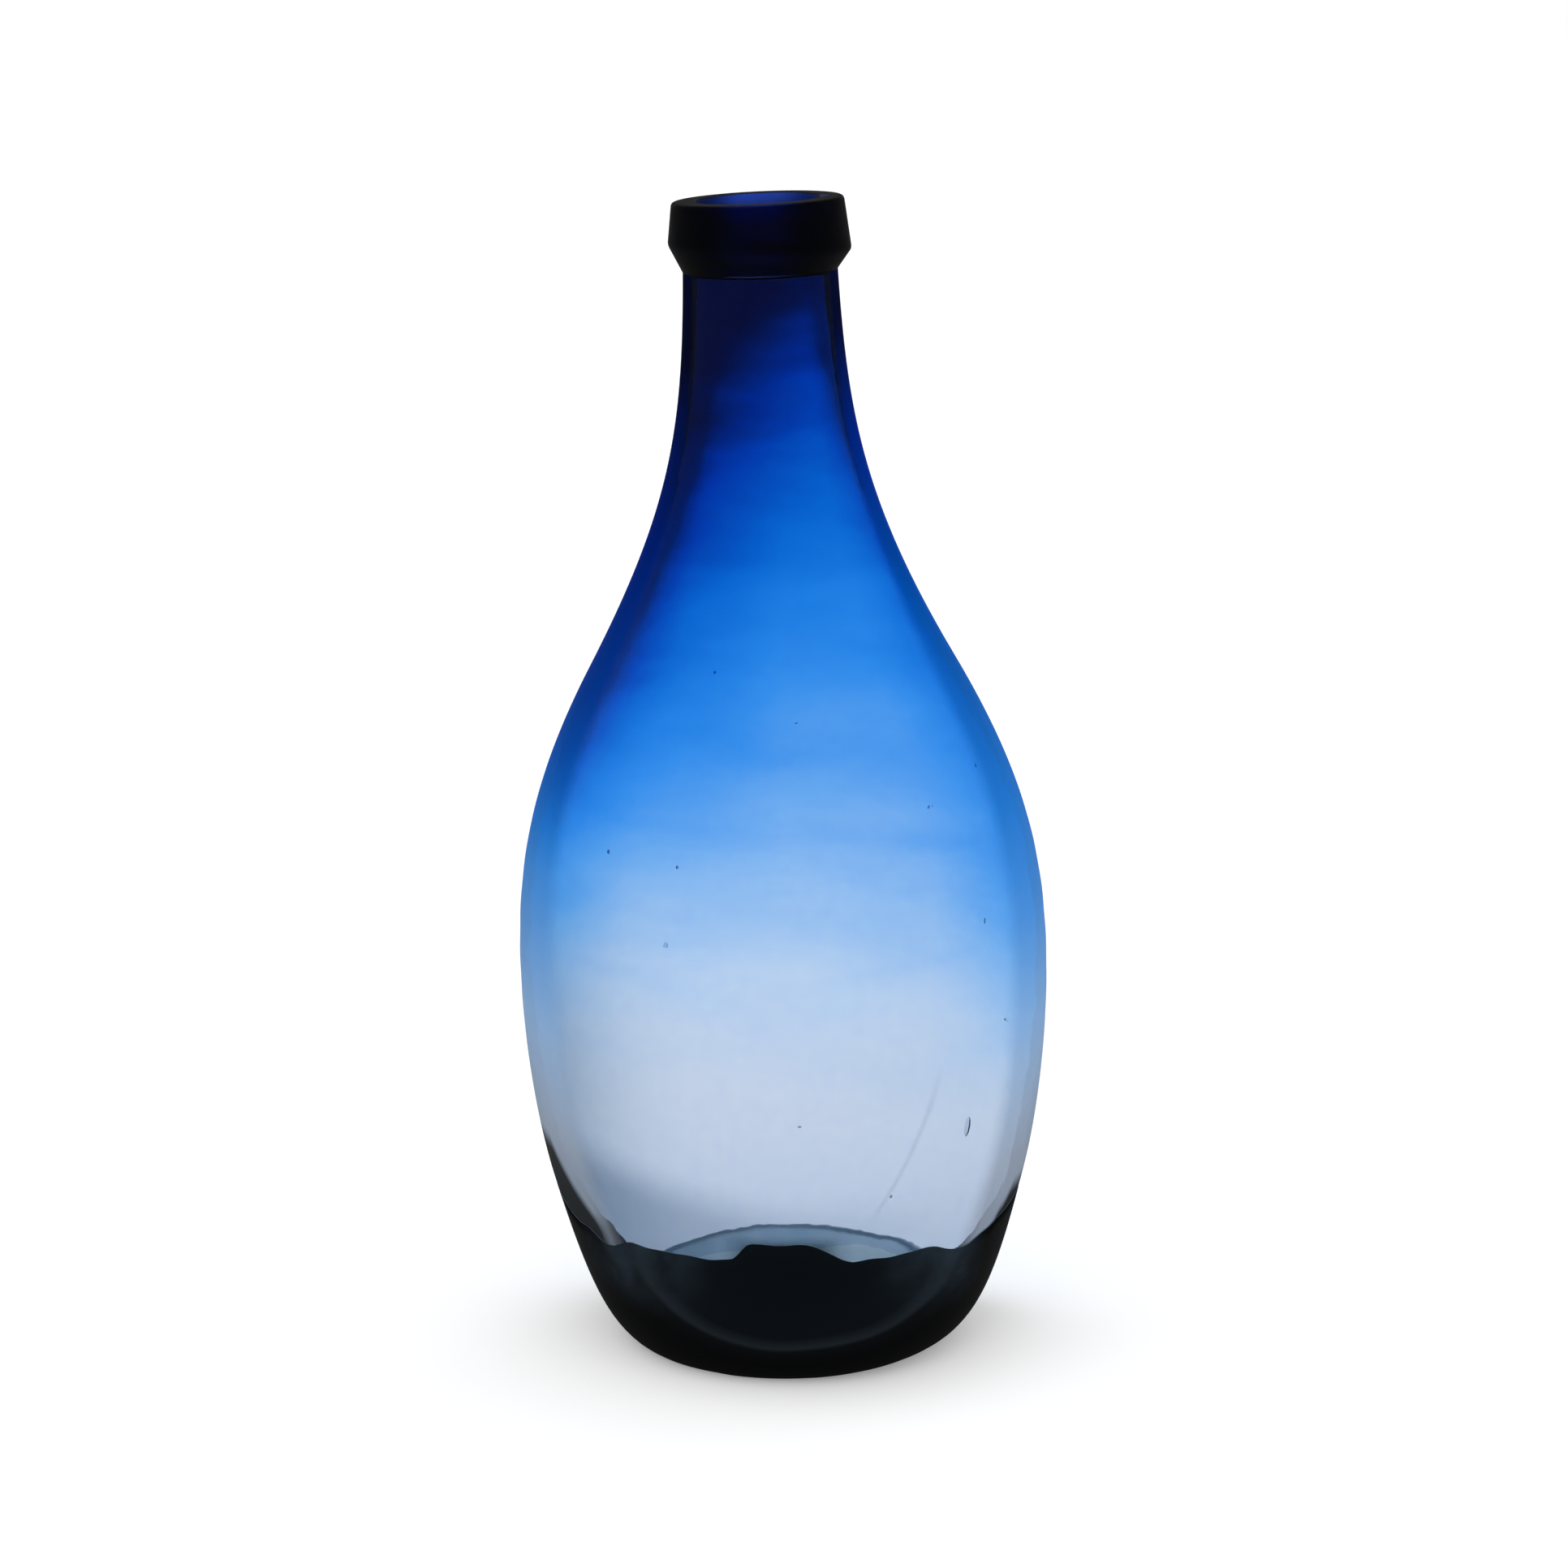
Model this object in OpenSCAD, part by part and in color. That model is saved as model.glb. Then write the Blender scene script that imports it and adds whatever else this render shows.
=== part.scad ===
// Free-blown bottle: a pale gather with a heavy smoke-dark foot, cased in cobalt from the mouth
// to the widest point of the belly, with a collar of glass laid round the end of the neck.
// Heights run up the bottle's own axis from the unworn foot. The axis leans, the foot is worn
// flat, and the origin is on the resting plane under the middle of the belly.

/* [Stance] */
// Lean of the axis from upright, towards -X, in degrees
lean = 1.8; // [0:0.1:2]
// Depth worn off the foot, measured on the axis
foot_wear = 1.2; // [1:0.1:1.8]

/* [Outline] */
// Radius of the cracked-off end of the neck
neck_r = 17.8; // [17.2:0.1:18.5]
// Height of the end of the neck, inside the collar
neck_z = 262; // [261:0.5:264]
// Radius where the shoulder turns from hollow to round
shoulder_r = 43.2; // [41:0.1:45]
// Height of that turn
shoulder_z = 166; // [160:0.5:170]
// Radius at the widest point of the belly
belly_r = 62.7; // [60:0.1:65]
// Height of the widest point
belly_z = 94; // [90:0.5:98]
// Radius at the upper edge of the dark pad
pad_r = 56.8; // [55.5:0.1:58]
// Height of the upper edge of the dark pad
pad_z = 43; // [40:0.5:46]
// Radius of the unworn resting ring
foot_r = 29; // [28:0.5:31]

/* [Glass thickness] */
// Whole wall at the end of the neck
neck_wall = 3.3; // [3:0.1:3.6]
// Whole wall at the turn of the shoulder
shoulder_wall = 2.8; // [2.4:0.1:3.4]
// Whole wall at the belly
belly_wall = 2.4; // [2:0.1:3]
// Whole wall at the upper edge of the dark pad
pad_wall = 3.2; // [2.8:0.1:4]
// Cobalt casing at the end of the neck
neck_casing = 1.6; // [1.2:0.1:2]
// Cobalt casing at the turn of the shoulder
shoulder_casing = 1; // [0.7:0.1:1.3]
// Cobalt casing at its lower edge
belly_casing = 0.4; // [0.3:0.1:0.6]
// Dark pad at its upper edge
pad_lip = 0.6; // [0.5:0.1:1]

/* [Floor and kick-up] */
// Radius of the lowest ring of the inner floor
trough_r = 34; // [32:0.5:36]
// Height of the lowest ring of the inner floor
trough_z = 8.5; // [8:0.5:10]
// Height of the inner floor on the axis
crown_z = 21; // [20:0.5:23]
// Pale glass over the dark pad at the trough
trough_skin = 4; // [3.5:0.1:4.5]
// Pale glass over the dark pad on the axis
crown_skin = 5; // [4.5:0.1:5.5]
// Radius of the mouth of the kick-up underneath
kick_r = 26; // [24:0.5:27]
// Height of the kick-up on the axis
kick_z = 13; // [12:0.5:13.5]

/* [Collar] */
// Radius of the mouth bore
mouth_r = 14; // [13:0.1:14.4]
// Height of the mouth rim on the axis
rim_z = 274.8; // [273:0.1:277]
// Radius of the collar at the mouth rim
rim_r = 19.9; // [19:0.1:20.5]
// Radius of the collar at its lower corner
collar_r = 21.3; // [20.8:0.1:22]
// Height of the lower corner
collar_z = 263.9; // [263:0.1:265.5]
// Height where the underside of the collar dies into the neck
collar_foot_z = 258.2; // [257:0.1:259.5]
// Tilt of the mouth plane from square, raised on +X, in degrees
rim_tilt = 0.8; // [0:0.1:2.5]
// Tilt of the collar's lower corner from square, raised on -X, in degrees
corner_tilt = 2.8; // [0:0.1:3]

/* [Pontil scar] */
// Mean radius of the ring of broken glass
scar_r = 8.5; // [7:0.5:10]
// Width of the ring
scar_w = 3.4; // [2.5:0.1:4]
// Depth of the ring's edge below the top of the kick-up
scar_drop = 2.2; // [1.6:0.1:3]

/* [Hidden] */
$fn = 96;
curve_steps = 10;
// How far a cutting shape runs past the glass it cuts
overshoot = 20;
// How far the collar and scar's cutting bores reach into the glass behind
bite = 1;
// Slope of the outline, in radius gained for each unit of fall, at its named points
neck_slope = 0.03;
shoulder_slope = 0.55;
pad_slope = -0.26;
// Pulls of each curve at its upper and lower ends: how far it holds its starting direction
neck_pulls = [38, 44];
upper_belly_pulls = [32, 25];
lower_belly_pulls = [18, 13.5];
heel_pulls = [31.5, 15];
cavity_heel_pulls = [17, 8];
pad_heel_pulls = [20, 10];
crown_pulls = [12, 10];
kick_pulls = [5, 12];
// Direction in which the kick-up leaves the foot
kick_rise = [-0.3, 1] / norm([0.3, 1]);
inward = [-1, 0];
// Shift that brings the leaning belly's middle over the origin
belly_shift = belly_z * sin(lean);

neck_end = [neck_r, neck_z];
shoulder_turn = [shoulder_r, shoulder_z];
belly = [belly_r, belly_z];
pad_edge = [pad_r, pad_z];
resting_ring = [foot_r, 0];

// The unit vector down the outline at a slope
function down(slope) = [slope, -1] / norm([slope, -1]);
// A point moved into the glass, square to the outline
function inset(point, slope, depth) = point + depth * [down(slope)[1], -down(slope)[0]];
// A cubic curve from a to b, leaving along a_dir and arriving along b_dir
function curve(a, a_dir, b, b_dir, pulls) = [
    for (i = [0 : curve_steps])
        let (t = i / curve_steps, s = 1 - t)
        s * s * s * a + 3 * s * s * t * (a + pulls[0] * a_dir)
        + 3 * s * t * t * (b - pulls[1] * b_dir) + t * t * t * b
];
// The neck and shoulder's outline, set in by a depth at each of its two ends
function neck_curve(end_depth, turn_depth) =
    curve(inset(neck_end, neck_slope, end_depth), down(neck_slope),
          inset(shoulder_turn, shoulder_slope, turn_depth), down(shoulder_slope), neck_pulls);
// The upper belly's outline, set in by a depth at each of its two ends
function upper_belly_curve(turn_depth, belly_depth) =
    curve(inset(shoulder_turn, shoulder_slope, turn_depth), down(shoulder_slope),
          inset(belly, 0, belly_depth), down(0), upper_belly_pulls);
// The lower belly's outline, set in by a depth at each of its two ends
function lower_belly_curve(belly_depth, pad_depth) =
    curve(inset(belly, 0, belly_depth), down(0),
          inset(pad_edge, pad_slope, pad_depth), down(pad_slope), lower_belly_pulls);
// The heel, from the pad's upper edge round to the resting ring
function heel_curve() = curve(pad_edge, down(pad_slope), resting_ring, inward, heel_pulls);
// A floor inside the heel: down from near the pad's edge, through the trough, up to the axis
function floor_curve(depth, pulls, trough, crown) = concat(
    curve(inset(pad_edge, pad_slope, depth), down(pad_slope), trough, inward, pulls),
    curve(trough, inward, crown, inward, crown_pulls)
);
function reversed(points) = [for (i = [len(points) - 1 : -1 : 0]) points[i]];

casing_face = concat(
    neck_curve(neck_casing, shoulder_casing),
    upper_belly_curve(shoulder_casing, belly_casing)
);
cavity = concat(
    neck_curve(neck_wall, shoulder_wall),
    upper_belly_curve(shoulder_wall, belly_wall),
    lower_belly_curve(belly_wall, pad_wall),
    floor_curve(pad_wall, cavity_heel_pulls, [trough_r, trough_z], [0, crown_z])
);
pad_face = floor_curve(pad_lip, pad_heel_pulls,
                       [trough_r, trough_z - trough_skin], [0, crown_z - crown_skin]);
kick_up = curve([kick_r, 0], kick_rise, [0, kick_z], inward, kick_pulls);

// Stands the children up: leans them, sinks the worn foot and centres the belly
module standing() {
    translate([belly_shift, 0, -foot_wear])
        rotate([0, -lean, 0])
            children();
}

// A ring of glass turned about the bottle's axis from an outline of [radius, height] points
module turned(outline) {
    rotate_extrude()
        polygon(outline);
}

// Everything below the resting plane
module worn_away() {
    translate([-belly_r, -belly_r, -overshoot])
        cube([2 * belly_r, 2 * belly_r, overshoot]);
}

module cobalt_casing() {
    color("#0a35b8")
        standing()
            turned(concat(neck_curve(0, 0), upper_belly_curve(0, 0), reversed(casing_face)));
}

module clear_gather() {
    color("#a9c4e6")
        standing()
            turned(concat(casing_face, lower_belly_curve(0, 0), pad_face, reversed(cavity)));
}

module smoke_pad() {
    color("#0b0e14")
        difference() {
            standing()
                turned(concat(heel_curve(), kick_up, reversed(pad_face)));
            worn_away();
        }
}

// The collar: a cone tooled in towards a tilted mouth, its underside a second cone tilted apart
module collar_body() {
    // Radius lost for each unit of rise, on the tooled side and under it
    taper = (collar_r - rim_r) / (rim_z - collar_z);
    undercut = (collar_r - neck_r) / (collar_z - collar_foot_z);
    // Both cones start below the collar's foot, where the other one or the neck hides them
    skirt = 1.3 * (collar_z - collar_foot_z);
    intersection() {
        tilted_at_corner(-rim_tilt)
            translate([0, 0, -skirt])
                cylinder(h = skirt + rim_z - collar_z, r1 = collar_r + skirt * taper, r2 = rim_r);
        tilted_at_corner(corner_tilt)
            translate([0, 0, -skirt])
                cylinder(h = skirt + overshoot, r1 = collar_r - skirt * undercut,
                         r2 = collar_r + overshoot * undercut);
    }
}

// Puts the children at the height of the collar's lower corner, tilted about it
module tilted_at_corner(tilt) {
    translate([0, 0, collar_z])
        rotate([0, tilt, 0])
            children();
}

// The neck filled solid, which the collar is laid round and over
module neck_plug() {
    turned(concat([[0, neck_z]], neck_curve(0, 0), [[0, shoulder_z]]));
}

module applied_lip() {
    color("#05071c")
        standing()
            difference() {
                collar_body();
                neck_plug();
                translate([0, 0, neck_z - bite])
                    cylinder(h = overshoot, r = mouth_r);
            }
}

// The ring that the pontil rod tore off, hanging from the roof of the kick-up
module pontil_scar() {
    color("#2a323c")
        standing()
            intersection() {
                turned(concat(kick_up, [[0, -overshoot], [kick_r, -overshoot]]));
                translate([0, 0, kick_z - scar_drop])
                    difference() {
                        cylinder(h = overshoot, r = scar_r + scar_w / 2);
                        translate([0, 0, -bite])
                            cylinder(h = overshoot + 2 * bite, r = scar_r - scar_w / 2);
                    }
            }
}

applied_lip();
cobalt_casing();
clear_gather();
smoke_pad();
pontil_scar();
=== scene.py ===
import math

import bmesh
import bpy
import numpy as np
from mathutils import Matrix, Vector


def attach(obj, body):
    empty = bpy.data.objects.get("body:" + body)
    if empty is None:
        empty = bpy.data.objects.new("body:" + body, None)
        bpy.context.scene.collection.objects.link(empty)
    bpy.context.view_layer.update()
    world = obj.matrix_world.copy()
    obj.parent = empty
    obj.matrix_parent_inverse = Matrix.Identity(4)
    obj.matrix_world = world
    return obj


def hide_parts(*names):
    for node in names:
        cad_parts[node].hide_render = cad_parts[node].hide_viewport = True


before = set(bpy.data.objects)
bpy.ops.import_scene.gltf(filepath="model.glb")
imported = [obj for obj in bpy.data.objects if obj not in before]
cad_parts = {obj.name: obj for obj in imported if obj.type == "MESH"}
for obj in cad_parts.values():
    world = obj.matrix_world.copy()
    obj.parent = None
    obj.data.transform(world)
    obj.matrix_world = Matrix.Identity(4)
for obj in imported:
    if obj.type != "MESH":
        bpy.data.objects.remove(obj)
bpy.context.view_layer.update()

# ---------------------------------------------------------------- outline
# The CAD's own dimensions, in mm. Heights run up the bottle's leaning axis from the unworn foot.

MM = 0.001
LEAN = math.radians(1.8)
FOOT_WEAR = 1.2
BELLY_Z = 94
NECK, SHOULDER, BELLY = (17.8, 262), (43.2, 166), (62.7, BELLY_Z)
PAD, FOOT = (56.8, 43), (29, 0)
NECK_SLOPE, SHOULDER_SLOPE, PAD_SLOPE = 0.03, 0.55, -0.26
NECK_WALL, SHOULDER_WALL, BELLY_WALL, PAD_WALL = 3.3, 2.8, 2.4, 3.2
PAD_LIP = 0.6
TROUGH, CROWN = (34, 8.5), (0, 21)
TROUGH_SKIN, CROWN_SKIN = 4, 5
KICK_R, KICK_Z = 26, 13
KICK_RISE = np.array([-0.3, 1]) / math.hypot(0.3, 1)
INWARD = (-1, 0)
# Shift that brings the leaning belly's middle over the origin
SHIFT = BELLY_Z * math.sin(LEAN)
# Vertices in each ring
AROUND = 288


def down(slope):
    """The unit vector down the outline at a slope."""
    v = np.array([slope, -1.0])
    return v / np.linalg.norm(v)


def inset(point, slope, depth):
    """A point moved into the glass, square to the outline."""
    u = down(slope)
    return np.array(point, float) + depth * np.array([u[1], -u[0]])


def curve(a, a_dir, b, b_dir, pulls, steps):
    """A cubic curve from a to b, leaving along a_dir and arriving along b_dir."""
    t = np.linspace(0, 1, steps + 1)[:, None]
    s = 1 - t
    a, b = np.array(a, float), np.array(b, float)
    return (
        s**3 * a
        + 3 * s * s * t * (a + pulls[0] * np.array(a_dir))
        + 3 * s * t * t * (b - pulls[1] * np.array(b_dir))
        + t**3 * b
    )


def side(at_neck, at_shoulder, at_belly, at_pad):
    """The wall from the end of the neck down to the pad's edge, set in by a depth at each point."""
    neck, shoulder = inset(NECK, NECK_SLOPE, at_neck), inset(SHOULDER, SHOULDER_SLOPE, at_shoulder)
    belly, pad = inset(BELLY, 0, at_belly), inset(PAD, PAD_SLOPE, at_pad)
    return np.vstack([
        curve(neck, down(NECK_SLOPE), shoulder, down(SHOULDER_SLOPE), pulls=(38, 44), steps=44),
        curve(shoulder, down(SHOULDER_SLOPE), belly, down(0), pulls=(32, 25), steps=36)[1:],
        curve(belly, down(0), pad, down(PAD_SLOPE), pulls=(18, 13.5), steps=26)[1:],
    ])


def floor_line(depth, pulls, trough, crown):
    """A floor inside the heel: down from near the pad's edge, through the trough, up to the axis."""
    return np.vstack([
        curve(inset(PAD, PAD_SLOPE, depth), down(PAD_SLOPE), trough, INWARD, pulls, steps=24),
        curve(trough, INWARD, crown, INWARD, pulls=(12, 10), steps=16)[1:],
    ])


outer = side(0, 0, 0, 0)
inner = side(NECK_WALL, SHOULDER_WALL, BELLY_WALL, PAD_WALL)
cavity_floor = floor_line(PAD_WALL, (17, 8), TROUGH, CROWN)
pad_face = floor_line(PAD_LIP, (20, 10), (TROUGH[0], TROUGH[1] - TROUGH_SKIN), (0, CROWN[1] - CROWN_SKIN))
heel = curve(PAD, down(PAD_SLOPE), FOOT, INWARD, pulls=(31.5, 15), steps=24)
kick = curve((KICK_R, 0), KICK_RISE, (0, KICK_Z), INWARD, pulls=(5, 12), steps=15)
under = np.vstack([heel, kick])
whole_upwards = np.vstack([outer, heel[1:]])[::-1]
heel_upwards = heel[::-1]
pad_face_upwards = pad_face[: len(heel)][::-1]

# ---------------------------------------------------------------- mesh helpers


def radius_at(z, line=whole_upwards):
    """Radius, at a height, of a line that runs upwards."""
    return np.interp(z, line[:, 1], line[:, 0])


def step_up(v, lo, hi):
    """0 below lo and 1 above hi, eased between."""
    t = np.clip((v - lo) / (hi - lo), 0, 1)
    return t * t * (3 - 2 * t)


def bell(v, middle, width):
    """1 at the middle, falling off to both sides."""
    return np.exp(-(((v - middle) / width) ** 2))


def rounded(points, radii, steps):
    """The line of points with each corner between its ends rounded."""
    out = [points[0]]
    for *corner, r in zip(points, points[1:], points[2:], radii):
        a, b, c = (np.array(p, float) for p in corner)
        p, q = b + (a - b) / np.linalg.norm(a - b) * r, b + (c - b) / np.linalg.norm(c - b) * r
        for t in np.linspace(0, 1, steps + 1):
            out.append(tuple((1 - t) ** 2 * p + 2 * t * (1 - t) * b + t * t * q))
    out.append(points[-1])
    return np.array(out)


def standing(points):
    """Points in mm about the axis, leaned, sunk by the worn foot and centred, in metres."""
    p = np.array(points, float)
    c, s = math.cos(LEAN), math.sin(LEAN)
    x = p[:, 0] * c - p[:, 2] * s + SHIFT
    z = np.maximum(p[:, 0] * s + p[:, 2] * c - FOOT_WEAR, 0)
    return np.column_stack([x, p[:, 1], z]) * MM


def placed(name, data):
    """A new object in the scene."""
    obj = bpy.data.objects.new(name, data)
    bpy.context.scene.collection.objects.link(obj)
    return obj


def turned(name, line, shape):
    """A closed line of (radius, height) turned about the axis. A point on the axis becomes one vertex.

    shape(angles, index, r, z) gives each ring's radii and heights."""
    angles = np.arange(AROUND) * 2 * math.pi / AROUND
    verts, rings = [], []
    for i, (r, z) in enumerate(line):
        if r < 1e-6:
            rings.append([len(verts)])
            verts.append((0, 0, z))
            continue
        rings.append(list(range(len(verts), len(verts) + AROUND)))
        radii, heights = shape(angles, i, r, z)
        verts += list(zip(radii * np.sin(angles), -radii * np.cos(angles), heights))
    faces = []
    for a, b in zip(rings, rings[1:] + rings[:1]):
        if len(a) == 1 and len(b) == 1:
            continue
        for j in range(AROUND):
            k = (j + 1) % AROUND
            if len(a) == 1:
                faces.append((a[0], b[j], b[k]))
            elif len(b) == 1:
                faces.append((a[k], a[j], b[0]))
            else:
                faces.append((a[k], a[j], b[j], b[k]))
    mesh = bpy.data.meshes.new(name)
    mesh.from_pydata([tuple(v) for v in standing(verts)], [], faces)
    mesh.shade_smooth()
    return placed(name, mesh)


def outward(obj):
    """Turns every shell's faces outwards."""
    bm = bmesh.new()
    bm.from_mesh(obj.data)
    bmesh.ops.recalc_face_normals(bm, faces=bm.faces)
    bm.to_mesh(obj.data)
    bm.free()
    obj.data.shade_smooth()


# ---------------------------------------------------------------- node helpers
# Each takes the node tree first, and most give back an output socket.

# Ranges that noise mostly falls in, wide and narrow
WIDE, NARROW = (0.3, 0.7), (0.35, 0.65)


def linear(rgb):
    """A colour of 0 to 255 per channel, as the screen shows it, in linear light."""
    shares = [v / 255 for v in rgb]
    return tuple(c / 12.92 if c <= 0.04045 else ((c + 0.055) / 1.055) ** 2.4 for c in shares)


def node(nt, kind, values=(), **settings):
    """A new node. values links or sets its sockets, by name or number."""
    made = nt.nodes.new(kind)
    for name, value in settings.items():
        setattr(made, name, value)
    for socket, value in dict(values).items():
        if isinstance(value, bpy.types.NodeSocket):
            nt.links.new(value, made.inputs[socket])
        else:
            made.inputs[socket].default_value = value
    return made


def maths(nt, operation, a, b=0.0):
    return node(nt, "ShaderNodeMath", {0: a, 1: b}, operation=operation).outputs[0]


def plus(nt, first, *others):
    for other in others:
        first = maths(nt, "ADD", first, other)
    return first


def times(nt, first, *others):
    for other in others:
        first = maths(nt, "MULTIPLY", first, other)
    return first


def minus(nt, a, b):
    return maths(nt, "SUBTRACT", a, b)


def apart(nt, a, b):
    """How far two values are from each other."""
    return maths(nt, "ABSOLUTE", minus(nt, a, b))


def ranged(nt, value, lo, hi, to_lo=0.0, to_hi=1.0, smooth=False):
    """A value mapped from lo and hi to two others, and held there beyond them."""
    return node(
        nt, "ShaderNodeMapRange",
        {"Value": value, "From Min": lo, "From Max": hi, "To Min": to_lo, "To Max": to_hi},
        interpolation_type="SMOOTHSTEP" if smooth else "LINEAR",
    ).outputs["Result"]


def mixed(nt, factor, a, b, blend="MIX"):
    """Colour a turned towards colour b."""
    made = nt.nodes.new("ShaderNodeMix")
    made.data_type, made.blend_type = "RGBA", blend
    factor_socket, a_socket, b_socket = made.inputs[0], made.inputs[6], made.inputs[7]
    for socket, value in ((factor_socket, factor), (a_socket, a), (b_socket, b)):
        if isinstance(value, bpy.types.NodeSocket):
            nt.links.new(value, socket)
        else:
            socket.default_value = (*value, 1) if socket.type == "RGBA" else value
    return made.outputs[2]


def filtered(nt, colour, by):
    """A colour multiplied by another."""
    return mixed(nt, 1.0, colour, by, "MULTIPLY")


def shaded(nt, share, colour, by):
    """A colour of which a share is multiplied by another."""
    return mixed(nt, share, colour, filtered(nt, colour, by))


def combined(nt, red, green, blue):
    """A colour from its channels."""
    return node(nt, "ShaderNodeCombineColor", {0: red, 1: green, 2: blue}).outputs[0]


def ramp(nt, value, stops):
    """The colour at a value, from stops of position and colour."""
    made = node(nt, "ShaderNodeValToRGB", {0: value})
    elements = made.color_ramp.elements
    while len(elements) < len(stops):
        elements.new(0.5)
    for element, (position, colour) in zip(elements, stops):
        element.position = position
        element.color = (*colour, 1)
    return made.outputs["Color"]


def noise(nt, place, scale, detail=2.0, roughness=0.5, distortion=0.0):
    """Even noise, with its scale in repeats per metre."""
    values = {"Vector": place, "Scale": scale, "Detail": detail}
    values.update({"Roughness": roughness, "Distortion": distortion})
    return node(nt, "ShaderNodeTexNoise", values).outputs["Fac"]


def scaled(nt, place, scale):
    """Places stretched along the axes, for noise that lies flat."""
    return node(nt, "ShaderNodeMapping", {"Vector": place, "Scale": scale}).outputs[0]


def bumped(nt, relief, strength, height):
    """A normal that follows a relief."""
    values = {"Strength": strength, "Distance": height, "Height": relief}
    return node(nt, "ShaderNodeBump", values).outputs[0]


def blended(nt, factor, a, b):
    """Shader a turned towards shader b."""
    return node(nt, "ShaderNodeMixShader", {0: factor, 1: a, 2: b}).outputs[0]


def principled(nt, **values):
    """A Principled shader, with its sockets named with underscores for spaces."""
    named = {socket.replace("_", " "): value for socket, value in values.items()}
    return node(nt, "ShaderNodeBsdfPrincipled", named).outputs[0]


def emptied(owner):
    """The node tree of a material or world, with nothing in it."""
    owner.use_nodes = True
    owner.node_tree.nodes.clear()
    return owner.node_tree


def material(name):
    """A new material, its node tree, and the place of the shaded point in metres."""
    made = bpy.data.materials.new(name)
    nt = emptied(made)
    return made, nt, node(nt, "ShaderNodeTexCoord").outputs["Object"]


def axes(nt, place):
    """The x, y and z of a place."""
    return node(nt, "ShaderNodeSeparateXYZ", {0: place}).outputs


def surface(nt, shader):
    """Makes a shader the material's surface."""
    node(nt, "ShaderNodeOutputMaterial", {"Surface": shader})


# ---------------------------------------------------------------- glass

GLASS_IOR = 1.5
SHEEN_ROUGHNESS = 0.2


def glass_surface(nt, tint, pale_shadow, gloss, normal=None, sheen=None):
    """Tinted glass with a soft gloss, which lets lamps shine through in a paler tint.

    sheen is the share and the colour of a sheen over it."""
    normals = {} if normal is None else {"Normal": normal}
    once = node(nt, "ShaderNodeGamma", {"Color": tint, "Gamma": 0.5}).outputs[0]
    shader = blended(
        nt, gloss,
        node(
            nt, "ShaderNodeBsdfRefraction",
            {"Color": once, "Roughness": 0.0, "IOR": GLASS_IOR, **normals},
        ).outputs[0],
        principled(nt, Base_Color=tint, Roughness=0.0, IOR=GLASS_IOR, Transmission_Weight=1.0, **normals),
    )
    if sheen is not None:
        share, colour = sheen
        over = node(nt, "ShaderNodeBsdfAnisotropic", {"Color": colour, "Roughness": SHEEN_ROUGHNESS})
        shader = blended(nt, share, shader, over.outputs[0])
    pale = mixed(nt, pale_shadow, tint, (1.0, 1.0, 1.0))
    clear = node(nt, "ShaderNodeBsdfTransparent", {"Color": pale}).outputs[0]
    is_shadow = node(nt, "ShaderNodeLightPath").outputs["Is Shadow Ray"]
    surface(nt, blended(nt, is_shadow, shader, clear))


# ---------------------------------------------------------------- the wall's glass
# Lengths and heights in materials are in metres.

# The fade from clear glass to cobalt: heights, and the colour that white has behind both walls
SEEN = (
    (0.040, (182, 196, 216)),
    (0.074, (190, 205, 226)),
    (0.100, (156, 190, 230)),
    (0.134, (80, 150, 228)),
    (0.160, (36, 128, 222)),
    (0.197, (2, 92, 198)),
    (0.228, (0, 42, 152)),
    (0.254, (3, 8, 48)),
)
# Heights at the two ends of the ramp that holds the fade
FADE_Z = (0.010, 0.280)
# Share of white light that two colourless walls let through
LET_THROUGH = 0.99
# x over which the bottle's sides come to differ from its middle
SIDE_X = 0.06
# How far blotches and flat wisps move the fade up and down, and heights over which the wisps come in
BLOTCH_SHIFT, WISP_SHIFT, WISPS_Z = 0.009, 0.008, (0.06, 0.1)
# How far it hangs down on the left shoulder, and the x and the heights over which it comes to that
LEFT_HANG, LEFT_X, LEFT_Z = 0.048, (0, -0.045), (0.10, 0.165)
# How far it climbs at the right of the neck, and over which heights
RIGHT_CLIMB, RIGHT_Z = 0.055, (0.15, 0.21)
# How far it hangs down at the right of the belly, and the heights over which that comes and goes
BELLY_HANG, BELLY_IN_Z, BELLY_OUT_Z = 0.014, (0.05, 0.08), (0.14, 0.11)
# How far it hangs down on glass that is seen aslant, on the wall's outer and inner faces
OUTER_SLANT_HANG, INNER_SLANT_HANG = 0.115, 0.06
# How far aslant that is, and the heights over which it comes to that
SLANT, SLANT_Z = (0.2, 0.9), (0.045, 0.125)
# The crease down the front of the belly: a place on it, its slope there, its bend and its half width
CREASE_X, CREASE_Z, CREASE_SLOPE, CREASE_BEND, CREASE_HALF = 0.0224, 0.0484, 0.62, 6.2, 0.0011
# Heights over which its foot and its top fade out, and the colour of the shade painted along it and the
# share of that
CREASE_FOOT_Z, CREASE_TOP_Z = (0.044, 0.052), (0.082, 0.070)
CREASE_COLOUR, CREASE_SHARE = (0.25, 0.3, 0.42), 0.2
# Painted shade near the foot: its colour, the sheen's colour over it, and how far aslant the glass is seen
# there
EDGE_SHADE, EDGE_SHADE_SHEEN, EDGE_SHADE_SLANT = (0.012, 0.016, 0.02), (0.02, 0.022, 0.024), (0.52, 0.62)
# The painted shade's top: how far aslant it goes from low to high, those heights, and its slope down to
# the right
EDGE_SHADE_RISE_SLANT, EDGE_SHADE_TOP_Z, EDGE_SHADE_SLOPE = (0.60, 0.80), (0.033, 0.047), -0.10
# The painted sheen of the wall's edge: its share of the light, and how far aslant it comes in
SHEEN_SHARE, SHEEN_SLANT = 0.85, (0.46, 0.60)
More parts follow.
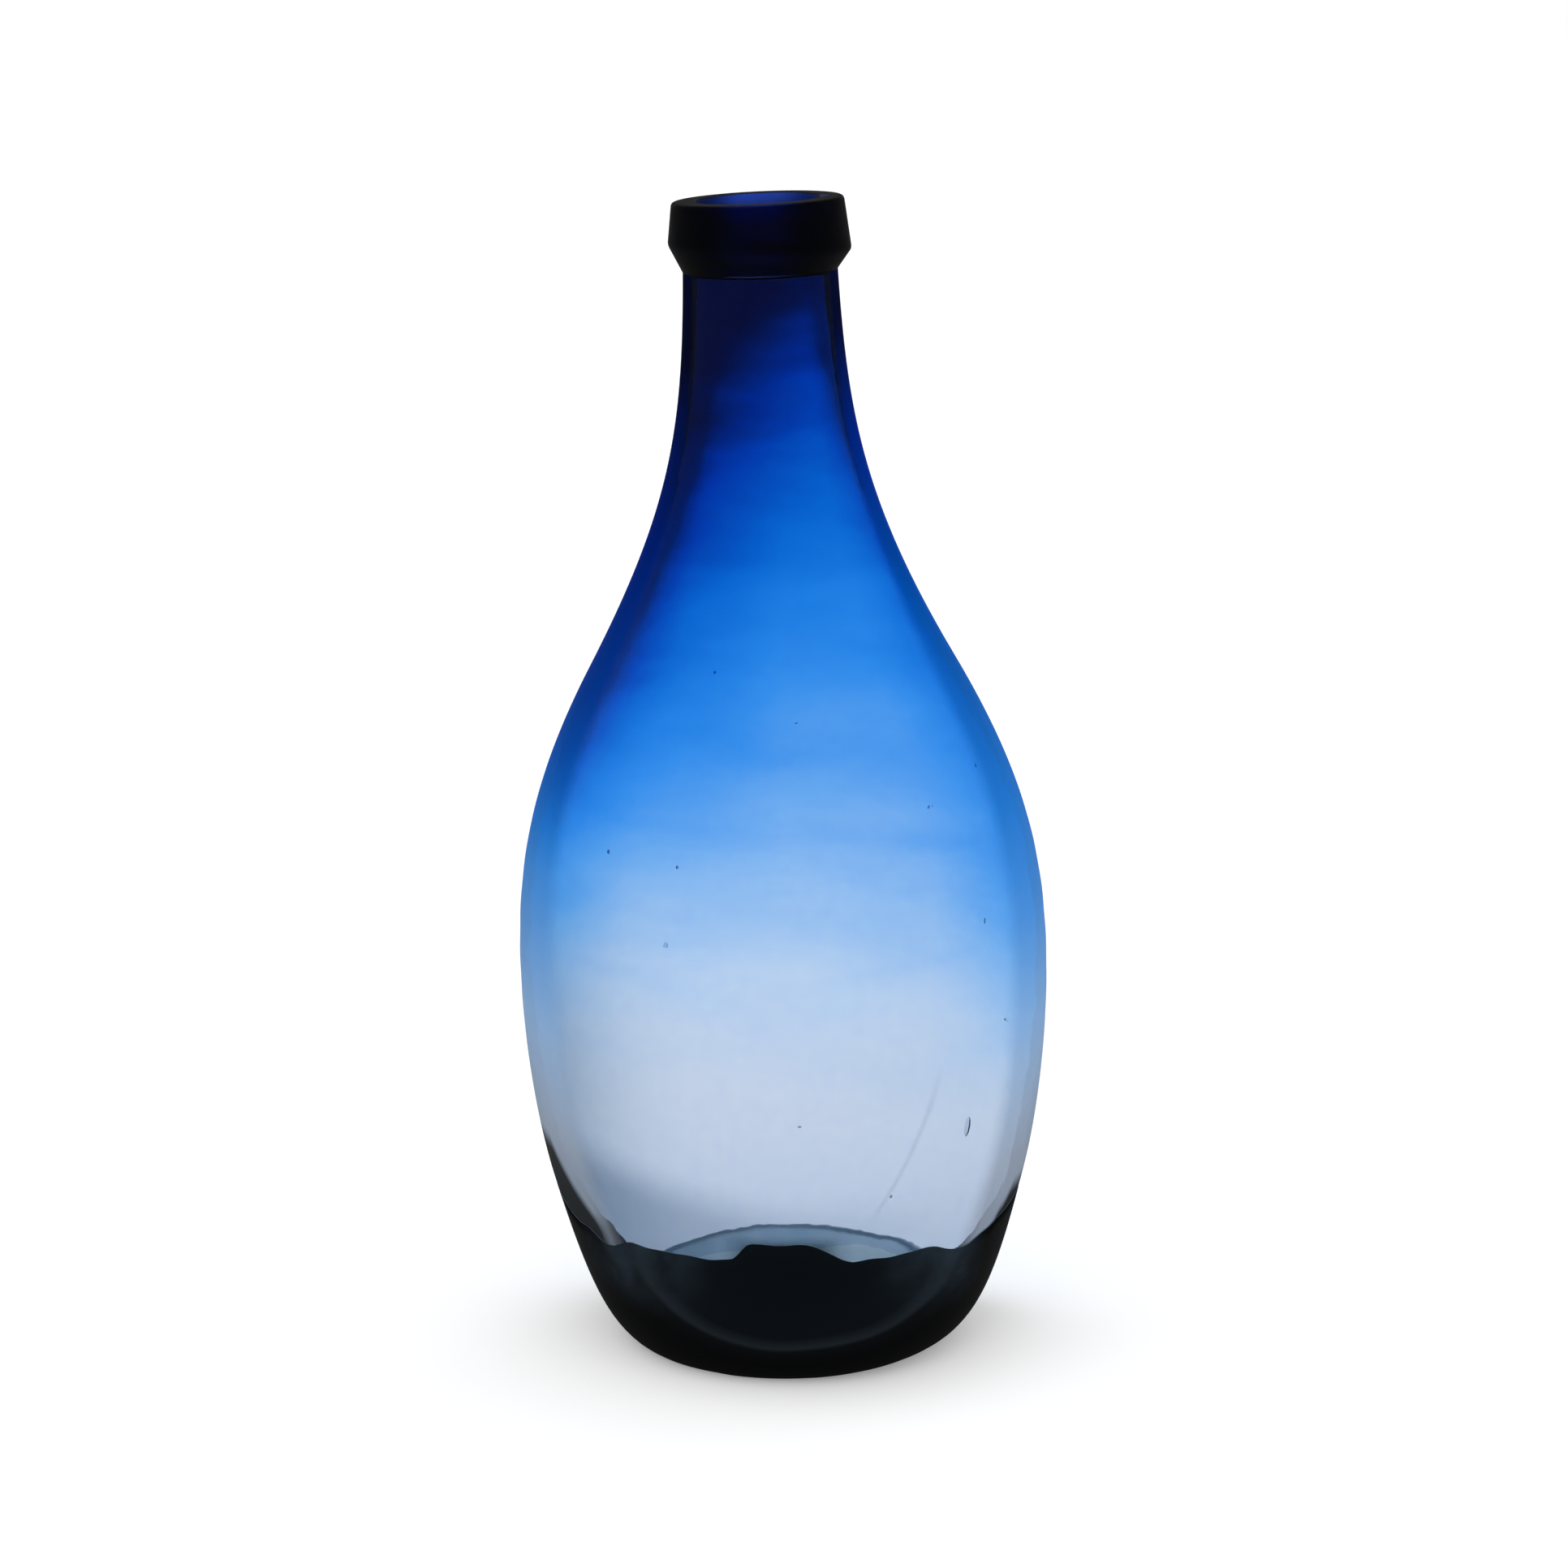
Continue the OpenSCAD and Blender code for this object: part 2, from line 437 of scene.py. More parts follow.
# The sheen has the colour of glass farther up. On the left: how far up, and over which heights it changes
LEFT_UP, LEFT_UP_Z = (0.018, 0.052), (0.115, 0.15)
LEFT_UP_LESS, LEFT_UP_LESS_Z = (0, 0.034), (0.16, 0.224)
# The same on the right
RIGHT_UP, RIGHT_UP_Z = (0.024, 0.008), (0.14, 0.224)
# How bright the painted sheen is, darker on the left as painted shade: on the left, by height, on the
# right, and near the foot, by height
LEFT_LIGHT, LEFT_LIGHT_Z, RIGHT_LIGHT = (0.7, 0.45), (0.12, 0.22), 0.78
FOOT_LIGHT, FOOT_LIGHT_Z = (0.65, 1.0), (0.050, 0.085)
# A wisp of smoke over the swell in the pad's edge: its middle, how it ends to the sides and upwards, its
# share and its colour
WISP_X, WISP_ASIDE, WISP_Z = 0.001, (0.006, 0.016), (0.0385, 0.0425)
WISP_SHARE, WISP_COLOUR = 0.8, (0.05, 0.09, 0.11)
# The soft shade of the belly's sides: its colour, the heights over which it comes in, and its share
SIDE_SHADE, SIDE_SHADE_Z, LEFT_SHADE, RIGHT_SHADE = (0.0, 0.16, 0.27), (0.13, 0.045), 0.62, 0.05
# The shade over the pad, ahead: its colour, the heights and the depth over which it comes in, how much
# higher it climbs on the left, and its share from left to right and the x of those
PAD_SHADE, PAD_SHADE_Z, PAD_SHADE_Y, PAD_SHADE_CLIMB = (0.1, 0.2, 0.3), (0.054, 0.040), (0.0, -0.02), 0.012
PAD_SHADE_X, PAD_SHADE_SHARE = (-0.036, 0.036), (0.55, 0.05)
# Gloss at the foot, the belly and the neck, and the heights over which it rises and falls again
FOOT_GLOSS, BELLY_GLOSS, NECK_GLOSS = 0.06, 0.3, 0.04
GLOSS_IN_Z, GLOSS_OUT_Z = (0.040, 0.064), (0.06, 0.2)
# Share of white in the light that comes through to a shadow
PALE_SHADOW = 0.88
# Noise, in repeats per metre: blotches, grain and peel, and wisps and rings that lie flat
BLOTCHES, GRAIN, PEEL = 9.0, 330.0, 230.0
FLAT_WISPS, FLAT_RINGS = (16.0, 16.0, 70.0), (12.0, 12.0, 420.0)
# How much the grain darkens and lightens
GRAIN_DEPTH = (0.975, 1.02)
# The relief: its strength and height, the share of it by height, and the rings' and the crease's share
BUMP, BUMP_HEIGHT, BUMP_SHARE, BUMP_Z = 0.12, 0.0004, (0.25, 1.0), (0.04, 0.11)
RINGS_SHARE, RINGS_Z, CREASE_RELIEF = 0.3, (0.075, 0.1), 0.15


def fade(nt, height):
    """The wall's tint at a height, for light that passes it once."""
    lowest, highest = FADE_Z
    stops = []
    for z, rgb in SEEN:
        tint = tuple(min(v / LET_THROUGH, 1.0) ** 0.5 for v in linear(rgb))
        stops.append(((z - lowest) / (highest - lowest), tint))
    return ramp(nt, ranged(nt, height, lowest, highest), stops)


def sides(nt, x):
    """How far to the left and to the right a place is, from 0 to 1 each."""
    return ranged(nt, x, 0, -SIDE_X), ranged(nt, x, 0, SIDE_X)


def in_front(nt, y):
    """1 in the front half of the bottle, and 0 behind."""
    return maths(nt, "LESS_THAN", y, 0.0)


def fade_height(nt, place, facing, slant_hang):
    """The height in the fade whose tint a place has."""
    x, _, z = axes(nt, place)
    _, right = sides(nt, x)
    blotches = ranged(nt, noise(nt, place, BLOTCHES, 3.0), *WIDE, -BLOTCH_SHIFT, BLOTCH_SHIFT)
    flat = scaled(nt, place, FLAT_WISPS)
    wisps = ranged(nt, noise(nt, flat, 1.0, 4.0, 0.6, 0.5), *WIDE, -WISP_SHIFT, WISP_SHIFT)
    drift = plus(nt, blotches, times(nt, wisps, ranged(nt, z, *WISPS_Z, smooth=True)))
    on_left = times(nt, ranged(nt, x, *LEFT_X), ranged(nt, z, *LEFT_Z, 0, LEFT_HANG))
    on_right = times(nt, right, ranged(nt, z, *RIGHT_Z, 0, -RIGHT_CLIMB))
    belly = times(nt, ranged(nt, z, *BELLY_OUT_Z), ranged(nt, z, *BELLY_IN_Z))
    at_belly = times(nt, right, belly, BELLY_HANG)
    # Glass seen aslant is deeper, so its colour is that of the glass higher up
    low = ranged(nt, z, *SLANT_Z, 0.12, 1.0, smooth=True)
    aslant = times(nt, ranged(nt, facing, *SLANT, 0.0, slant_hang), low)
    return plus(nt, z, drift, aslant, plus(nt, on_left, on_right, at_belly))


def foot_edge_shade(nt, place, facing):
    """How much shade is painted on the wall near the foot, where it is seen edge-on, in place of the dark
    pad that glass shows there.
    """
    x, _, z = axes(nt, place)
    top = plus(nt, ranged(nt, facing, *EDGE_SHADE_RISE_SLANT, *EDGE_SHADE_TOP_Z), times(nt, x, EDGE_SHADE_SLOPE))
    below = ranged(nt, minus(nt, z, top), -0.002, 0.004, 1.0, 0.0, smooth=True)
    return times(nt, below, ranged(nt, facing, *EDGE_SHADE_SLANT, smooth=True))


def edge_sheen(nt, place, facing, edge_shade):
    """Share and colour of the painted sheen where the wall is seen edge-on, in place of light coloured by
    its long path through the glass, dimmer on the left as painted shade.
    """
    x, _, z = axes(nt, place)
    to_right = ranged(nt, x, -0.01, 0.005, smooth=True)
    left_up = ranged(nt, z, *LEFT_UP_Z, *LEFT_UP, smooth=True)
    left_up = minus(nt, left_up, ranged(nt, z, *LEFT_UP_LESS_Z, *LEFT_UP_LESS))
    up = ranged(nt, to_right, 0, 1, left_up, ranged(nt, z, *RIGHT_UP_Z, *RIGHT_UP))
    colour = node(nt, "ShaderNodeGamma", {"Color": fade(nt, plus(nt, z, up)), "Gamma": 2.0}).outputs[0]
    light = ranged(nt, to_right, 0, 1, ranged(nt, z, *LEFT_LIGHT_Z, *LEFT_LIGHT), RIGHT_LIGHT)
    light = times(nt, light, ranged(nt, z, *FOOT_LIGHT_Z, *FOOT_LIGHT))
    colour = filtered(nt, colour, combined(nt, light, light, light))
    share = ranged(nt, facing, *SHEEN_SLANT, 0.0, SHEEN_SHARE, smooth=True)
    return share, mixed(nt, edge_shade, colour, EDGE_SHADE_SHEEN)


def with_wisp(nt, place, tint):
    """The tint with the wisp of smoke over the swell in the middle of the pad's edge."""
    x, y, z = axes(nt, place)
    at_edge = ranged(nt, z, *WISP_Z, WISP_SHARE, 0.0, smooth=True)
    in_middle = ranged(nt, apart(nt, x, WISP_X), *WISP_ASIDE, 1.0, 0.0, smooth=True)
    return mixed(nt, times(nt, at_edge, in_front(nt, y), in_middle), tint, WISP_COLOUR)


def with_side_shades(nt, place, tint):
    """The tint with the lower left in a soft shade, and the lower right less so."""
    x, _, z = axes(nt, place)
    left, right = sides(nt, x)
    on_left = times(nt, maths(nt, "POWER", left, 4.0), LEFT_SHADE)
    beside = plus(nt, on_left, times(nt, right, right, RIGHT_SHADE))
    return shaded(nt, times(nt, beside, ranged(nt, z, *SIDE_SHADE_Z, smooth=True)), tint, SIDE_SHADE)


def with_pad_shade(nt, place, tint):
    """The tint with the shade just over the pad, ahead, and more so to the left."""
    x, y, z = axes(nt, place)
    left, _ = sides(nt, x)
    share = ranged(nt, minus(nt, z, times(nt, left, PAD_SHADE_CLIMB)), *PAD_SHADE_Z, smooth=True)
    share = times(nt, share, ranged(nt, y, *PAD_SHADE_Y, smooth=True))
    share = times(nt, share, ranged(nt, x, *PAD_SHADE_X, *PAD_SHADE_SHARE))
    return shaded(nt, share, tint, PAD_SHADE)


def belly_crease(nt, place):
    """Where the crease is that bows down the front of the belly, to the right."""
    x, y, z = axes(nt, place)
    up = minus(nt, z, CREASE_Z)
    bow = minus(nt, times(nt, up, CREASE_SLOPE), times(nt, up, up, CREASE_BEND))
    off = maths(nt, "ABSOLUTE", minus(nt, minus(nt, x, CREASE_X), bow))
    line = ranged(nt, off, 0.0, CREASE_HALF, 1.0, 0.0, smooth=True)
    ends = times(nt, ranged(nt, z, *CREASE_FOOT_Z), ranged(nt, z, *CREASE_TOP_Z))
    return times(nt, line, ends, in_front(nt, y))


def wall_bump(nt, place, crease):
    """The relief of the wall's faces: a fine peel, flat rings from blowing, and the crease."""
    z = axes(nt, place)["Z"]
    peel = noise(nt, place, PEEL)
    rings = times(nt, noise(nt, scaled(nt, place, FLAT_RINGS), 1.0), ranged(nt, z, *RINGS_Z, smooth=True))
    share = ranged(nt, z, *BUMP_Z, *BUMP_SHARE, smooth=True)
    uneven = times(nt, plus(nt, times(nt, rings, RINGS_SHARE), peel), share)
    relief = minus(nt, uneven, times(nt, crease, CREASE_RELIEF))
    return bumped(nt, relief, BUMP, BUMP_HEIGHT)


def wall_glass(name, outside):
    """The wall's glass. Outside, where it is seen edge-on, it has a painted shade near the foot and a
    painted coloured sheen.
    """
    made, nt, place = material(name)
    z = axes(nt, place)["Z"]
    facing = node(nt, "ShaderNodeLayerWeight", {"Blend": 0.5}).outputs["Facing"]
    tint = fade(nt, fade_height(nt, place, facing, OUTER_SLANT_HANG if outside else INNER_SLANT_HANG))
    sheen = None
    if outside:
        # Near the foot, shade is painted where the wall is seen edge-on
        edge_shade = foot_edge_shade(nt, place, facing)
        tint = mixed(nt, edge_shade, tint, EDGE_SHADE)
        # A sheen is painted where the wall is seen edge-on
        sheen = edge_sheen(nt, place, facing, edge_shade)
    for added in (with_wisp, with_side_shades, with_pad_shade):
        tint = added(nt, place, tint)
    crease = belly_crease(nt, place)
    # A shade is painted along the crease
    tint = mixed(nt, times(nt, crease, CREASE_SHARE), tint, CREASE_COLOUR)
    grain = ranged(nt, noise(nt, place, GRAIN, 3.0), *WIDE, *GRAIN_DEPTH)
    tint = filtered(nt, tint, combined(nt, grain, grain, 1.0))
    gloss_above = ranged(nt, z, *GLOSS_OUT_Z, BELLY_GLOSS, NECK_GLOSS, smooth=True)
    gloss = maths(nt, "MINIMUM", gloss_above, ranged(nt, z, *GLOSS_IN_Z, FOOT_GLOSS, BELLY_GLOSS))
    glass_surface(nt, tint, PALE_SHADOW, gloss, normal=wall_bump(nt, place, crease), sheen=sheen)
    return made


# ---------------------------------------------------------------- the other pieces' glass

# x of the collar's middle, the heights over which its tint goes from the neck's to the rim's, and how far
# clouds shift that
COLLAR_X, COLLAR_TINT_Z, COLLAR_CLOUD = -0.0056, (0.256, 0.276), 0.0015
# How far from its middle the collar is darkened by painted shade, and to what share of its tint
COLLAR_DIM_X, COLLAR_DIM = (0.004, 0.013), 0.3
# The pale oval painted on the pad, in place of the bottle's floor seen through it: its middle and half its
# width and height
OVAL_X, OVAL_Z = 0.0035, 0.0328
OVAL_ACROSS, OVAL_UP = 0.038, 0.022
# Slate-blue clouds at the pad's sides: their middle, how far aside they come in and end, their foot's
# heights and their colour
SLATE_X, SLATE_IN, SLATE_OUT, SLATE_Z = 0.002, (0.016, 0.036), (0.049, 0.040), (0.014, 0.034)
SLATE = (0.019, 0.030, 0.042)
# Share of the pad's look that is gloss
PAD_GLOSS = 0.03
# The dark arch painted along the back of the heel, in place of the heel's outline seen through the glass:
# its middle, its top, how fast it falls to its sides, its line's half width, depth and colour
ARCH_X, ARCH_Z, ARCH_FALL = 0.001, 0.0090, 1.15
ARCH_HALF, ARCH_SHARE, ARCH_COLOUR = (0.0001, 0.0010), 0.9, (0.16, 0.24, 0.30)
# The pale part of the lining, painted in place of the floor seen through the clear heel: its middle, where
# it ends to the sides, and where it begins behind
PALE_X, PALE_ASIDE, PALE_Y = 0.004, (0.045, 0.037), (-0.012, 0.004)
# Where the smoke thins ahead: the depth and the heights over which it comes to that
THIN_Y, THIN_Z = (0.0, -0.02), (0.018, 0.036)


def collar_glass():
    """Cobalt so dense that it is all but black, bluer at the rim and pale where it meets the neck, with
    painted shade to both sides of its middle.
    """
    made, nt, place = material("collar_glass")
    x, _, z = axes(nt, place)
    cloud = ranged(nt, noise(nt, place, 60.0, 3.0), *WIDE, -COLLAR_CLOUD, COLLAR_CLOUD)
    tint = ramp(nt, ranged(nt, plus(nt, z, cloud), *COLLAR_TINT_Z), [
        (0.03, (0.7, 0.8, 0.95)),
        (0.18, (0.05, 0.07, 0.16)),
        (0.3, (0.015, 0.025, 0.09)),
        (0.68, (0.01, 0.02, 0.10)),
        (0.98, (0.015, 0.055, 0.45)),
    ])
    # Painted shade darkens the collar to both sides of its middle
    dim = ranged(nt, apart(nt, x, COLLAR_X), *COLLAR_DIM_X, 1.0, COLLAR_DIM, smooth=True)
    glass_surface(nt, filtered(nt, tint, combined(nt, dim, dim, dim)), pale_shadow=0.0, gloss=0.04)
    return made


def pad_glass():
    """Smoke-dark glass, with a paler oval and a fine rim painted where the floor of the bottle would show
    through it.
    """
    made, nt, place = material("pad_glass")
    x, _, z = axes(nt, place)
    # A paler oval with a fine rim is painted in place of the floor seen through the glass
    across = maths(nt, "DIVIDE", minus(nt, x, OVAL_X), OVAL_ACROSS)
    up = maths(nt, "DIVIDE", minus(nt, z, OVAL_Z), OVAL_UP)
    from_middle = maths(nt, "SQRT", plus(nt, times(nt, across, across), times(nt, up, up)))
    warp = ranged(nt, noise(nt, place, 30.0), *WIDE, -0.03, 0.03)
    colour = ramp(nt, ranged(nt, plus(nt, from_middle, warp), 0.0, 2.0), [
        (0.0, (0.0018, 0.0032, 0.0046)),
        (0.42, (0.0028, 0.0046, 0.0064)),
        (0.488, (0.0105, 0.015, 0.019)),
        (0.512, (0.0024, 0.0032, 0.004)),
        (0.6, (0.0012, 0.0014, 0.0016)),
        (1.0, (0.0010, 0.0011, 0.0012)),
    ])
    clouds = ranged(nt, noise(nt, place, 60.0, 3.0, 0.6, 0.4), *NARROW, 0.25, 1.0)
    beside = ranged(nt, apart(nt, x, SLATE_X), *SLATE_IN, smooth=True)
    near_edge = ranged(nt, z, *SLATE_Z, smooth=True)
    not_outermost = ranged(nt, apart(nt, x, 0.0), *SLATE_OUT, smooth=True)
    slate = times(nt, times(nt, beside, near_edge), times(nt, not_outermost, clouds))
    colour = mixed(nt, slate, colour, SLATE)
    rough = ranged(nt, noise(nt, place, 120.0), *WIDE, 0.08, 0.2)
    glossy = principled(nt, Base_Color=colour, Roughness=rough, IOR=GLASS_IOR)
    deep = node(nt, "ShaderNodeBsdfDiffuse", {"Color": colour}).outputs[0]
    surface(nt, blended(nt, PAD_GLOSS, deep, glossy))
    return made


def pad_lining():
    """The pad's face under the clear glass: dark ahead, and behind, low in the heel, painted pale with a
    dark arch, in place of the floor and the heel's outline seen through the clear glass.
    """
    made, nt, place = material("pad_lining")
    x, y, z = axes(nt, place)
    veil = ranged(nt, noise(nt, place, 45.0, 3.0), *NARROW)
    # A fine dark arch is painted along the back of the heel, and the painted pale below it is greener
    across = minus(nt, x, ARCH_X)
    over_arch = minus(nt, plus(nt, z, times(nt, across, across, ARCH_FALL)), ARCH_Z)
    greener = mixed(nt, veil, (0.56, 0.70, 0.72), (0.82, 0.92, 0.92))
    pale = mixed(nt, ranged(nt, over_arch, -0.0006, 0.0004, smooth=True), greener, (0.92, 0.96, 0.98))
    line = ranged(nt, maths(nt, "ABSOLUTE", over_arch), *ARCH_HALF, ARCH_SHARE, 0.0, smooth=True)
    pale = mixed(nt, line, pale, ARCH_COLOUR)
    behind = ranged(nt, y, *PALE_Y, smooth=True)
    at_back = times(nt, behind, ranged(nt, apart(nt, x, PALE_X), *PALE_ASIDE, smooth=True))
    # Ahead, the smoke thins a little towards its edge
    ahead = times(nt, ranged(nt, y, *THIN_Y, smooth=True), ranged(nt, z, *THIN_Z, smooth=True))
    thin = times(nt, ahead, ranged(nt, veil, 0.0, 1.0, 0.4, 1.0))
    dark = mixed(nt, thin, (0.004, 0.006, 0.008), (0.10, 0.14, 0.19))
    colour = mixed(nt, at_back, dark, pale)
    surface(nt, principled(nt, Base_Color=colour, Roughness=0.5, Specular_IOR_Level=0.2))
    return made


def scar_glass():
    """Broken glass, dark and rough."""
    made, nt, place = material("scar_glass")
    chips = noise(nt, place, 700.0, 4.0, 0.7)
    colour = mixed(nt, ranged(nt, chips, *NARROW), (0.008, 0.011, 0.016), (0.05, 0.065, 0.085))
    surface(nt, principled(nt, Base_Color=colour, Roughness=0.35, Normal=bumped(nt, chips, 0.8, 0.0006)))
    return made


# ---------------------------------------------------------------- the pad's edge and the wall's unevenness

# The pad's edge, in mm: its mean height ahead, and how far it drops from left to right about that
EDGE_Z, EDGE_DROP = 36.6, 1.1
# Its waves: how many go round the bottle, their height and their start in radians
EDGE_WAVES = ((9, 0.3, 2.0), (23, 0.18, 0.0), (41, 0.1, 0.0))
# Its dips and swells: angle from the front in degrees, height and half width in degrees
EDGE_LUMPS = ((-51, -2.6, 6), (48, -3.0, 8), (-88, 4, 16), (88, 4, 16))
# The flat-topped swell in the middle: its height, and the angles over which it rises and falls
SWELL, SWELL_RISE, SWELL_FALL = 4.4, (-14.5, -9), (4, 16)
# Behind, the edge lies low: its height, its drop to the right and to both sides
BACK_Z, BACK_DROP, BACK_ARCH = 10.5, 1.26, 1.8
# Degrees from the front over which it falls to there, about a middle turned a little to the left
BACK_FALL, BACK_TURN = (80, 122), 4
# The pad's thickness at its wavy edge, and the height from which the edge's waves move the glass
LIP = 0.2
SETTLED = 5.0
# How far the pad stands out from the wall's outline, and the height up to which it comes to that
PROUD, REST_Z = 0.05, 4


def pad_edge(angles):
    """Height of the pad's edge. Angle 0 is the front, and +90 degrees is the right."""
    a = np.degrees((angles + math.pi) % (2 * math.pi) - math.pi)
    edge = EDGE_Z - EDGE_DROP * np.tanh(3 * np.sin(angles))
    for count, height, start in EDGE_WAVES:
        edge = edge + height * np.sin(count * angles + start)
    edge = edge + SWELL * step_up(a, *SWELL_RISE) * (1 - step_up(a, *SWELL_FALL))
    for middle, height, width in EDGE_LUMPS:
        edge = edge + height * bell(a, middle, width)
    low = BACK_Z - BACK_DROP * np.sin(angles) - BACK_ARCH * np.sin(angles) ** 2
    return edge + (low - edge) * step_up(np.abs(a + BACK_TURN), *BACK_FALL)


def pad_depth(edge, z):
    """How thick the pad is at a height, measured level."""
    in_cad = SETTLED + (z - SETTLED) * (PAD[1] - SETTLED) / (edge - SETTLED)
    thick = radius_at(in_cad, heel_upwards) - radius_at(in_cad, pad_face_upwards)
    # It tapers to its lip over the last 6 mm, or over less where the edge is low
    grown = np.clip((edge - z) / np.minimum(6, 0.6 * (edge - SETTLED)), 0, 1)
    return LIP + (thick - LIP) * grown


def wobble(angles, r, z):
    """Hand-blown unevenness: slow swells round the body and faint rings round the belly."""
    swell = 0.14 * np.sin(3 * angles + z / 31 + 1.0) + 0.09 * np.sin(5 * angles - z / 17)
    rings = 0.05 * np.sin(z / 1.9) * bell(z, 106, 22)
    return r + np.minimum(r / 30, 1.0) * (swell + rings)


# ---------------------------------------------------------------- the wall, clear and cobalt in one

# Heights in mm over which the wall's hidden face leaves the middle of the pad for the side of it
LEAVES_MIDDLE = (4, 10)
# How deep the seeds lie in the wall, and how thin they are, in mm
SEED_DEPTH, SEED_THICKNESS = 1.2, 0.35
# Angle from the front in degrees, height, width, length and lean in degrees
SEEDS = (
    (-42, 131.7, 0.8, 0.9, 0),
    (-23, 130.2, 0.6, 0.8, 0),
    (61, 145.2, 0.7, 0.9, 0),
    (-19, 171.4, 0.5, 0.7, 0),
    (24, 51.2, 0.6, 0.8, 20),
    (50, 112.0, 0.5, 1.4, 10),
    (44, 64.3, 1.8, 4.6, 8),
    (3, 70.9, 0.9, 0.4, 0),
    (140, 120.0, 0.7, 1.0, 0),
    (-150, 84.0, 0.9, 1.8, -12),
    (175, 140.0, 0.6, 0.8, 0),
    (112, 70.0, 0.8, 1.4, 6),
)

hidden_face = under.copy()
hidden_face[-1] = (under[-1] + pad_face[-1]) / 2
wall_line = np.vstack([outer, hidden_face[1:], cavity_floor[::-1], inner[::-1][1:]])


def wall_shape(angles, i, r, z):
    """The glass wall. Where the pad covers it, its outer face runs inside the pad."""
    k = i - len(outer) + 1
    z = np.full(len(angles), z)
    if 0 < k < len(under):
        middle_r, middle_z = (under[k] + pad_face[k]) / 2
        edge = pad_edge(angles)
        beside = r - np.where(z < edge, 0.5 * pad_depth(edge, z), 0)
        low, high = LEAVES_MIDDLE
        free = np.clip((z - low) / (high - low), 0, 1) if k < len(heel) else 0 * z
        r, z = free * beside + (1 - free) * middle_r, free * z + (1 - free) * middle_z
    return wobble(angles, r, z), z


def add_seeds(obj):
    """Adds the bubbles in the wall: closed voids, whose faces look inwards."""
    voids = bmesh.new()
    for degrees, z, width, length, lean in SEEDS:
        a = math.radians(degrees)
        r = float(radius_at(z)) - SEED_DEPTH
        at = Vector(standing([(r * math.sin(a), -r * math.cos(a), z)])[0])
        turn = Matrix.Rotation(a, 4, "Z") @ Matrix.Rotation(math.radians(lean), 4, "Y")
        size = Matrix.Diagonal((width, SEED_THICKNESS, length, 1.0))
        made = bmesh.ops.create_uvsphere(voids, u_segments=24, v_segments=14, radius=0.5 * MM)["verts"]
        bmesh.ops.transform(voids, matrix=Matrix.Translation(at) @ turn @ size, verts=made)
    bmesh.ops.reverse_faces(voids, faces=list(voids.faces))
    mesh = bpy.data.meshes.new("seeds")
    voids.to_mesh(mesh)
    voids.free()
    bm = bmesh.new()
    bm.from_mesh(obj.data)
    bm.from_mesh(mesh)
    bm.to_mesh(obj.data)
    bm.free()
    bpy.data.meshes.remove(mesh)
    obj.data.shade_smooth()


wall = turned("bottle_wall", wall_line, wall_shape)
outward(wall)
wall.data.materials.append(wall_glass("bottle_glass", outside=True))
wall.data.materials.append(wall_glass("bore_glass", outside=False))
# The cavity's faces have no sheen, but for the few round the middle of its floor
first_inside = len(outer) + len(hidden_face) - 1
for poly in wall.data.polygons:
    poly.material_index = 1 if poly.index // AROUND >= first_inside else 0
add_seeds(wall)

# ---------------------------------------------------------------- the dark pad


def stood_out(line):
    """The line moved outwards by the pad's stand-off, but for its end on the axis."""
    step = np.gradient(line, axis=0)
    normal = np.column_stack([-step[:, 1], step[:, 0]])
    normal /= np.maximum(np.linalg.norm(normal, axis=1), 1e-9)[:, None]
    moved = line + PROUD * normal * np.clip(line[:, 1:] / REST_Z, 0, 1)
    moved[-1] = line[-1]
    return moved


pad_line = np.vstack([stood_out(under), pad_face[::-1]])


def pad_shape(angles, i, r, z):
    """Brings the pad's upper edge to its wavy line, sliding along the wall."""
    inside = i >= len(under)
    k = len(pad_line) - 1 - i if inside else i
    heights = np.full(len(angles), z)
    if k < len(heel) and z > SETTLED:
        edge = pad_edge(angles)
        heights = np.minimum(SETTLED + (z - SETTLED) * (edge - SETTLED) / (PAD[1] - SETTLED), edge)
        r = radius_at(heights) + PROUD - (pad_depth(edge, heights) if inside else 0)
    return wobble(angles, r, heights), heights


pad = turned("dark_pad", pad_line, pad_shape)
pad.data.materials.append(pad_glass())
pad.data.materials.append(pad_lining())
for poly in pad.data.polygons:
    poly.material_index = 1 if poly.index // AROUND >= len(under) - 1 else 0
outward(pad)

# ---------------------------------------------------------------- the collar

MOUTH_R, RIM_Z, RIM_R = 14.0, 274.8, 19.9
COLLAR_R, COLLAR_Z, COLLAR_FOOT = 21.2, 263.9, 258.2
RIM_TILT, CORNER_TILT = math.radians(0.8), math.radians(2.8)
# Inside this radius are the faces of the bore, which the corner's tilt leaves alone
BORE_LIMIT = 17
# Height of the seat on the end of the neck, and of the lower ends hidden in the neck's glass
SEAT_Z, HIDDEN_OUT_Z, HIDDEN_IN_Z = 262.2, 258, 259

collar_line = rounded(
    [
        (radius_at(HIDDEN_OUT_Z) - 0.25, HIDDEN_OUT_Z),
        (radius_at(COLLAR_FOOT) - 0.1, COLLAR_FOOT),
        (COLLAR_R, COLLAR_Z),
        (RIM_R, RIM_Z),
        (MOUTH_R, RIM_Z),
        (MOUTH_R, SEAT_Z),
        (radius_at(NECK[1]) - 0.5, SEAT_Z),
        (radius_at(HIDDEN_IN_Z) - 0.3, HIDDEN_IN_Z),
    ],
    radii=(0.1, 0.8, 1.0, 0.6, 0.6, 0.4),
    steps=5,
)


